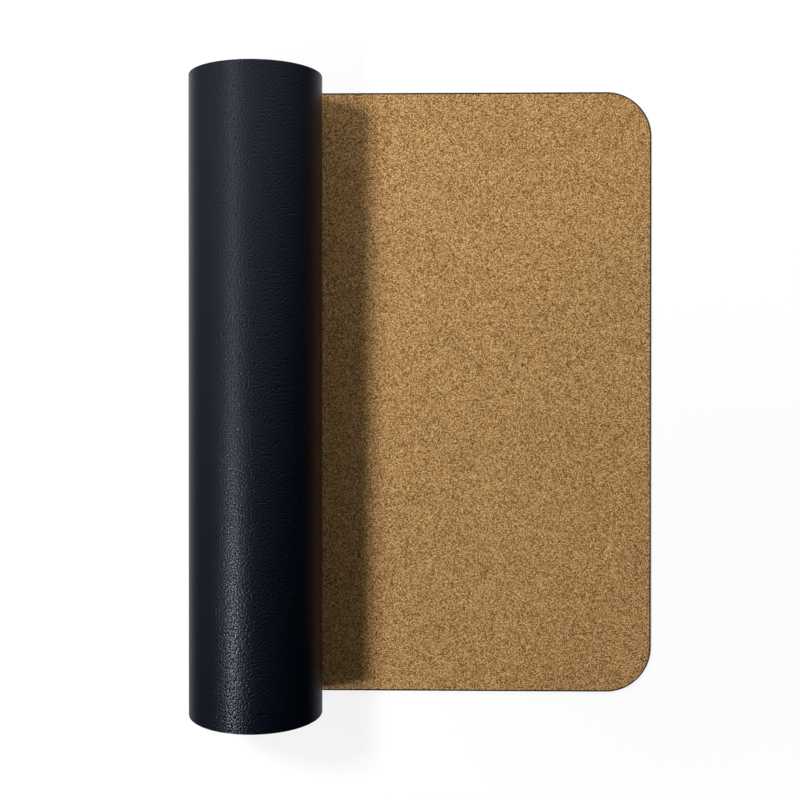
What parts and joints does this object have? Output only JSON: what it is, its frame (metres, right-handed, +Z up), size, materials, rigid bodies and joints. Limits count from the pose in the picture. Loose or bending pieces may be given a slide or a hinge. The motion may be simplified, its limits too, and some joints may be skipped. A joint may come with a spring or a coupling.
{
  "type": "desk mat",
  "caption": "Two-sided desk mat, faux leather on one face and cork on the other, half rolled up with its cork face showing. It unrolls flat, and its free edge lifts.",
  "frame": {"origin": "on the desk, under the middle of the box of the mat as it lies half rolled", "axes": "+X along the mat towards its free end, +Y along the roll, +Z up from the desk"},
  "size_m": [0.2994, 0.4, 0.0853],
  "materials": {
    "leather": "satin",
    "cork": "matte"
  },
  "bodies": {
    "flat_sheet": {"leather_flat": "leather", "cork_flat": "cork"},
    "roll_01": {"leather_roll_01": "leather", "cork_roll_01": "cork"},
    "roll_02": {"leather_roll_02": "leather", "cork_roll_02": "cork"},
    "roll_03": {"leather_roll_03": "leather", "cork_roll_03": "cork"},
    "roll_04": {"leather_roll_04": "leather", "cork_roll_04": "cork"},
    "roll_05": {"leather_roll_05": "leather", "cork_roll_05": "cork"},
    "roll_06": {"leather_roll_06": "leather", "cork_roll_06": "cork"},
    "roll_07": {"leather_roll_07": "leather", "cork_roll_07": "cork"},
    "roll_08": {"leather_roll_08": "leather", "cork_roll_08": "cork"},
    "roll_09": {"leather_roll_09": "leather", "cork_roll_09": "cork"},
    "roll_10": {"leather_roll_10": "leather", "cork_roll_10": "cork"},
    "roll_11": {"leather_roll_11": "leather", "cork_roll_11": "cork"},
    "roll_12": {"leather_roll_12": "leather", "cork_roll_12": "cork"},
    "roll_13": {"leather_roll_13": "leather", "cork_roll_13": "cork"},
    "roll_14": {"leather_roll_14": "leather", "cork_roll_14": "cork"},
    "roll_15": {"leather_roll_15": "leather", "cork_roll_15": "cork"},
    "roll_16": {"leather_roll_16": "leather", "cork_roll_16": "cork"},
    "roll_17": {"leather_roll_17": "leather", "cork_roll_17": "cork"},
    "roll_18": {"leather_roll_18": "leather", "cork_roll_18": "cork"},
    "roll_19": {"leather_roll_19": "leather", "cork_roll_19": "cork"},
    "roll_20": {"leather_roll_20": "leather", "cork_roll_20": "cork"},
    "roll_21": {"leather_roll_21": "leather", "cork_roll_21": "cork"},
    "roll_22": {"leather_roll_22": "leather", "cork_roll_22": "cork"},
    "roll_23": {"leather_roll_23": "leather", "cork_roll_23": "cork"},
    "edge_1": {"leather_edge_1": "leather", "cork_edge_1": "cork"},
    "edge_2": {"leather_edge_2": "leather", "cork_edge_2": "cork"},
    "edge_3": {"leather_edge_3": "leather", "cork_edge_3": "cork"},
    "edge_4": {"leather_edge_4": "leather", "cork_edge_4": "cork"},
    "edge_5": {"leather_edge_5": "leather", "cork_edge_5": "cork"}
  },
  "joints": [
    {"name": "unroll", "type": "hinge", "parent": "flat_sheet", "child": "roll_01", "pos_m": [-0.1085, 0, 0.002], "axis": [0, -1, 0], "range_deg": [0, 17.98]},
    {"name": "unroll_bend_02", "type": "hinge", "parent": "roll_01", "child": "roll_02", "pos_m": [-0.13278, 0, 0.00988], "axis": [0, -1, 0], "range_deg": [0, 36.01]},
    {"name": "unroll_bend_03", "type": "hinge", "parent": "roll_02", "child": "roll_03", "pos_m": [-0.14769, 0, 0.03038], "axis": [0, -1, 0], "range_deg": [0, 36.01]},
    {"name": "unroll_bend_04", "type": "hinge", "parent": "roll_03", "child": "roll_04", "pos_m": [-0.1477, 0, 0.05555], "axis": [0, -1, 0], "range_deg": [0, 36.01]},
    {"name": "unroll_bend_05", "type": "hinge", "parent": "roll_04", "child": "roll_05", "pos_m": [-0.13302, 0, 0.07577], "axis": [0, -1, 0], "range_deg": [0, 36.01]},
    {"name": "unroll_bend_06", "type": "hinge", "parent": "roll_05", "child": "roll_06", "pos_m": [-0.10943, 0, 0.08345], "axis": [0, -1, 0], "range_deg": [0, 36.01]},
    {"name": "unroll_bend_07", "type": "hinge", "parent": "roll_06", "child": "roll_07", "pos_m": [-0.086, 0, 0.07585], "axis": [0, -1, 0], "range_deg": [0, 36.01]},
    {"name": "unroll_bend_08", "type": "hinge", "parent": "roll_07", "child": "roll_08", "pos_m": [-0.07162, 0, 0.05607], "axis": [0, -1, 0], "range_deg": [0, 36.01]},
    {"name": "unroll_bend_09", "type": "hinge", "parent": "roll_08", "child": "roll_09", "pos_m": [-0.07161, 0, 0.0318], "axis": [0, -1, 0], "range_deg": [0, 36.01]},
    {"name": "unroll_bend_10", "type": "hinge", "parent": "roll_09", "child": "roll_10", "pos_m": [-0.08576, 0, 0.0123], "axis": [0, -1, 0], "range_deg": [0, 36.01]},
    {"name": "unroll_bend_11", "type": "hinge", "parent": "roll_10", "child": "roll_11", "pos_m": [-0.1085, 0, 0.0049], "axis": [0, -1, 0], "range_deg": [0, 36.01]},
    {"name": "unroll_bend_12", "type": "hinge", "parent": "roll_11", "child": "roll_12", "pos_m": [-0.13108, 0, 0.01223], "axis": [0, -1, 0], "range_deg": [0, 36.01]},
    {"name": "unroll_bend_13", "type": "hinge", "parent": "roll_12", "child": "roll_13", "pos_m": [-0.14493, 0, 0.03128], "axis": [0, -1, 0], "range_deg": [0, 36.01]},
    {"name": "unroll_bend_14", "type": "hinge", "parent": "roll_13", "child": "roll_14", "pos_m": [-0.14494, 0, 0.05466], "axis": [0, -1, 0], "range_deg": [0, 36.01]},
    {"name": "unroll_bend_15", "type": "hinge", "parent": "roll_14", "child": "roll_15", "pos_m": [-0.13131, 0, 0.07343], "axis": [0, -1, 0], "range_deg": [0, 36.01]},
    {"name": "unroll_bend_16", "type": "hinge", "parent": "roll_15", "child": "roll_16", "pos_m": [-0.10943, 0, 0.08055], "axis": [0, -1, 0], "range_deg": [0, 36.01]},
    {"name": "unroll_bend_17", "type": "hinge", "parent": "roll_16", "child": "roll_17", "pos_m": [-0.0877, 0, 0.0735], "axis": [0, -1, 0], "range_deg": [0, 36.01]},
    {"name": "unroll_bend_18", "type": "hinge", "parent": "roll_17", "child": "roll_18", "pos_m": [-0.07437, 0, 0.05517], "axis": [0, -1, 0], "range_deg": [0, 36.01]},
    {"name": "unroll_bend_19", "type": "hinge", "parent": "roll_18", "child": "roll_19", "pos_m": [-0.07437, 0, 0.03269], "axis": [0, -1, 0], "range_deg": [0, 36.01]},
    {"name": "unroll_bend_20", "type": "hinge", "parent": "roll_19", "child": "roll_20", "pos_m": [-0.08747, 0, 0.01465], "axis": [0, -1, 0], "range_deg": [0, 36.01]},
    {"name": "unroll_bend_21", "type": "hinge", "parent": "roll_20", "child": "roll_21", "pos_m": [-0.1085, 0, 0.0078], "axis": [0, -1, 0], "range_deg": [0, 36.01]},
    {"name": "unroll_bend_22", "type": "hinge", "parent": "roll_21", "child": "roll_22", "pos_m": [-0.12937, 0, 0.01457], "axis": [0, -1, 0], "range_deg": [0, 36.01]},
    {"name": "unroll_bend_23", "type": "hinge", "parent": "roll_22", "child": "roll_23", "pos_m": [-0.14217, 0, 0.03217], "axis": [0, -1, 0], "range_deg": [0, 36.01]},
    {"name": "lift_free_edge", "type": "hinge", "parent": "flat_sheet", "child": "edge_1", "pos_m": [0.0297, 0, 0], "axis": [0, -1, 0], "range_deg": [0, 10]},
    {"name": "lift_bend_2", "type": "hinge", "parent": "edge_1", "child": "edge_2", "pos_m": [0.0537, 0, 0], "axis": [0, -1, 0], "range_deg": [0, 20]},
    {"name": "lift_bend_3", "type": "hinge", "parent": "edge_2", "child": "edge_3", "pos_m": [0.0777, 0, 0], "axis": [0, -1, 0], "range_deg": [0, 20]},
    {"name": "lift_bend_4", "type": "hinge", "parent": "edge_3", "child": "edge_4", "pos_m": [0.1017, 0, 0], "axis": [0, -1, 0], "range_deg": [0, 20]},
    {"name": "lift_bend_5", "type": "hinge", "parent": "edge_4", "child": "edge_5", "pos_m": [0.1257, 0, 0], "axis": [0, -1, 0], "range_deg": [0, 20]}
  ],
  "couplings": [
    {"joint": "unroll_bend_02", "follows": "unroll", "ratio": 2.0023},
    {"joint": "unroll_bend_03", "follows": "unroll", "ratio": 2.0023},
    {"joint": "unroll_bend_04", "follows": "unroll", "ratio": 2.0023},
    {"joint": "unroll_bend_05", "follows": "unroll", "ratio": 2.0023},
    {"joint": "unroll_bend_06", "follows": "unroll", "ratio": 2.0023},
    {"joint": "unroll_bend_07", "follows": "unroll", "ratio": 2.0023},
    {"joint": "unroll_bend_08", "follows": "unroll", "ratio": 2.0023},
    {"joint": "unroll_bend_09", "follows": "unroll", "ratio": 2.0023},
    {"joint": "unroll_bend_10", "follows": "unroll", "ratio": 2.0023},
    {"joint": "unroll_bend_11", "follows": "unroll", "ratio": 2.0023},
    {"joint": "unroll_bend_12", "follows": "unroll", "ratio": 2.0023},
    {"joint": "unroll_bend_13", "follows": "unroll", "ratio": 2.0023},
    {"joint": "unroll_bend_14", "follows": "unroll", "ratio": 2.0023},
    {"joint": "unroll_bend_15", "follows": "unroll", "ratio": 2.0023},
    {"joint": "unroll_bend_16", "follows": "unroll", "ratio": 2.0023},
    {"joint": "unroll_bend_17", "follows": "unroll", "ratio": 2.0023},
    {"joint": "unroll_bend_18", "follows": "unroll", "ratio": 2.0023},
    {"joint": "unroll_bend_19", "follows": "unroll", "ratio": 2.0023},
    {"joint": "unroll_bend_20", "follows": "unroll", "ratio": 2.0023},
    {"joint": "unroll_bend_21", "follows": "unroll", "ratio": 2.0023},
    {"joint": "unroll_bend_22", "follows": "unroll", "ratio": 2.0023},
    {"joint": "unroll_bend_23", "follows": "unroll", "ratio": 2.0023},
    {"joint": "lift_bend_2", "follows": "lift_free_edge", "ratio": 2},
    {"joint": "lift_bend_3", "follows": "lift_free_edge", "ratio": 2},
    {"joint": "lift_bend_4", "follows": "lift_free_edge", "ratio": 2},
    {"joint": "lift_bend_5", "follows": "lift_free_edge", "ratio": 2}
  ]
}
